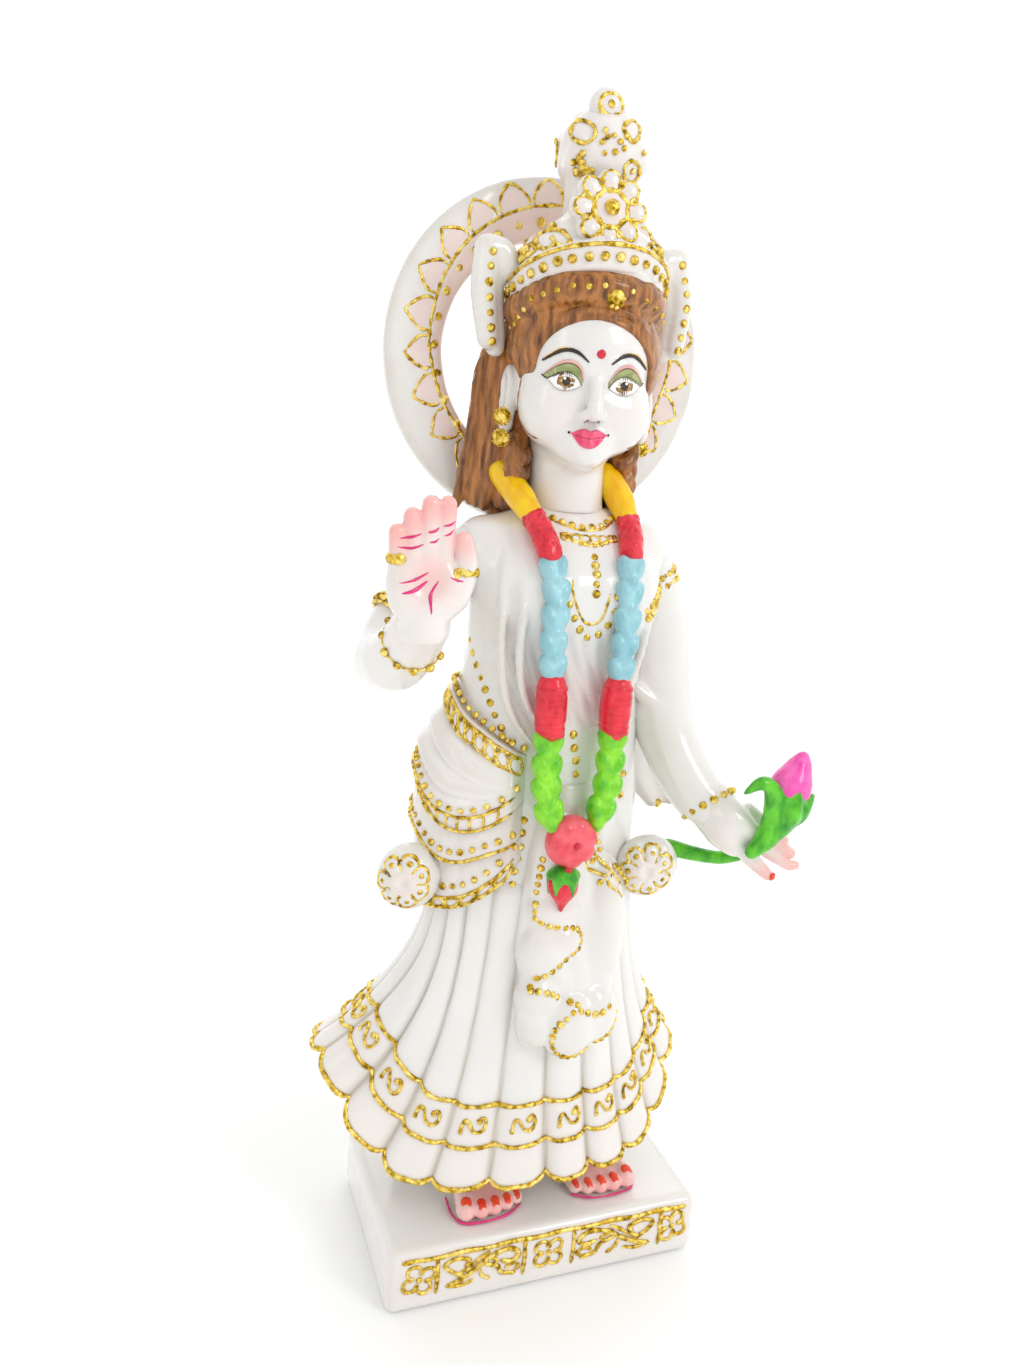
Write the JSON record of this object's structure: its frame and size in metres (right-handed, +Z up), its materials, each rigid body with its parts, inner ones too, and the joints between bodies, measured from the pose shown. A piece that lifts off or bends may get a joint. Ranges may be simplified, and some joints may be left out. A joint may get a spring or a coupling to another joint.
{
  "type": "hindu deity statue",
  "caption": "Standing goddess figurine with halo, crown, blessing hand, garland, lotus and pleated skirt on a rectangular plinth.",
  "frame": {"origin": "centre of the plinth's underside", "axes": "+Z up, +X to the figure's left, -Y to the figure's front"},
  "size_m": [0.152, 0.0967, 0.3815],
  "materials": {
    "white_resin": "gloss",
    "gold_paint": "satin",
    "skin_tint": "gloss",
    "hair_paint": "gloss",
    "garland_yellow": "gloss",
    "garland_red": "gloss",
    "garland_blue": "gloss",
    "garland_green": "gloss",
    "stem_green": "gloss",
    "lotus_pink": "gloss",
    "steel_pin": "satin"
  },
  "bodies": {
    "root": {"arm_left": "white_resin", "arm_right": "white_resin", "armlet_left": "gold_paint", "armlet_right": "gold_paint", "bangle_left": "gold_paint", "bangle_right": "gold_paint", "collar_necklace": "gold_paint", "crown_band": "white_resin", "crown_finial": "gold_paint", "crown_medallion": "gold_paint", "crown_tower": "white_resin", "earring_left": "gold_paint", "earring_right": "gold_paint", "foot_left": "skin_tint", "foot_right": "skin_tint", "forehead_drop": "gold_paint", "front_drape": "white_resin", "garland_blue_leaf_left": "garland_blue", "garland_blue_leaf_right": "garland_blue", "garland_bud": "garland_red", "garland_flower": "garland_red", "garland_green_leaf_left": "garland_green", "garland_green_leaf_right": "garland_green", "garland_red_left": "garland_red", "garland_red_right": "garland_red", "garland_rose_left": "garland_red", "garland_rose_right": "garland_red", "garland_yellow_left": "garland_yellow", "garland_yellow_right": "garland_yellow", "hair_back": "hair_paint", "hair_cap": "hair_paint", "halo": "white_resin", "hand_left": "skin_tint", "hand_right": "skin_tint", "head": "white_resin", "hem_trim": "gold_paint", "hip_drape_lower": "white_resin", "hip_drape_middle": "white_resin", "hip_drape_upper": "white_resin", "long_necklace": "gold_paint", "lotus_bud": "lotus_pink", "lotus_leaf": "stem_green", "lotus_stem": "stem_green", "neck_dowel": "steel_pin", "palm_ring_outer": "gold_paint", "palm_ring_thumb": "gold_paint", "plinth": "white_resin", "plinth_relief": "gold_paint", "rosette_left": "white_resin", "rosette_right": "white_resin", "skirt": "white_resin", "skirt_border_lower": "gold_paint", "skirt_border_upper": "gold_paint", "torso": "white_resin", "veil_tail": "white_resin", "veil_wing_left": "white_resin", "veil_wing_right": "white_resin", "waist_dowel": "steel_pin", "waist_sash": "white_resin"}
  },
  "joints": []
}
